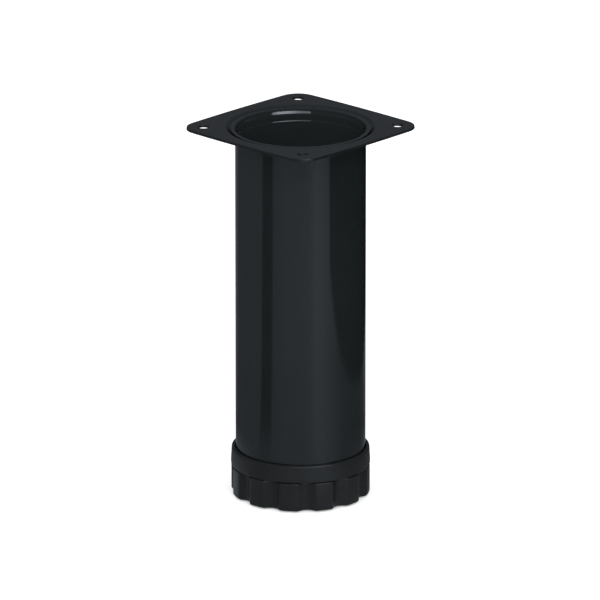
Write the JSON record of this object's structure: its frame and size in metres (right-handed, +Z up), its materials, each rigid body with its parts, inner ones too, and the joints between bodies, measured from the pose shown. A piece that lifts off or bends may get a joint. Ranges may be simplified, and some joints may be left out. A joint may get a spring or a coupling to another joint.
{
  "type": "furniture leveling foot",
  "caption": "Short round black steel furniture leg with a square screw-on plate at the top and a fluted plastic screw foot that sets the height.",
  "frame": {"origin": "centre of the floor contact, under the tube's axis", "axes": "+Z up along the tube to the mounting plate; X and Y run square to the plate's sides"},
  "size_m": [0.0804, 0.0804, 0.1762],
  "materials": {
    "plate_enamel": "gloss black enamel",
    "tube_enamel": "gloss black enamel",
    "socket_plastic": "satin moulded black",
    "foot_plastic": "satin moulded black",
    "glide_plastic": "matte moulded black",
    "nut_zinc": "zinc plated",
    "bolt_zinc": "zinc plated"
  },
  "bodies": {
    "leg": {"mounting_plate": "plate_enamel", "leg_tube": "tube_enamel", "end_socket": "socket_plastic", "captive_nut": "nut_zinc"},
    "glide": {"floor_glide": "glide_plastic"},
    "adjuster": {"fluted_foot": "foot_plastic", "adjusting_bolt": "bolt_zinc"}
  },
  "joints": [
    {"name": "foot_lift", "type": "slide", "parent": "leg", "child": "glide", "axis": [0, 0, -1], "range_m": [0, 0.02]},
    {"name": "foot_turn", "type": "hinge", "parent": "glide", "child": "adjuster", "pos_m": [0, 0, 0], "axis": [0, 0, -1], "range_deg": [0, 4800]}
  ],
  "couplings": [
    {"joint": "foot_lift", "follows": "foot_turn", "m_per_rad": 0.00023873}
  ]
}
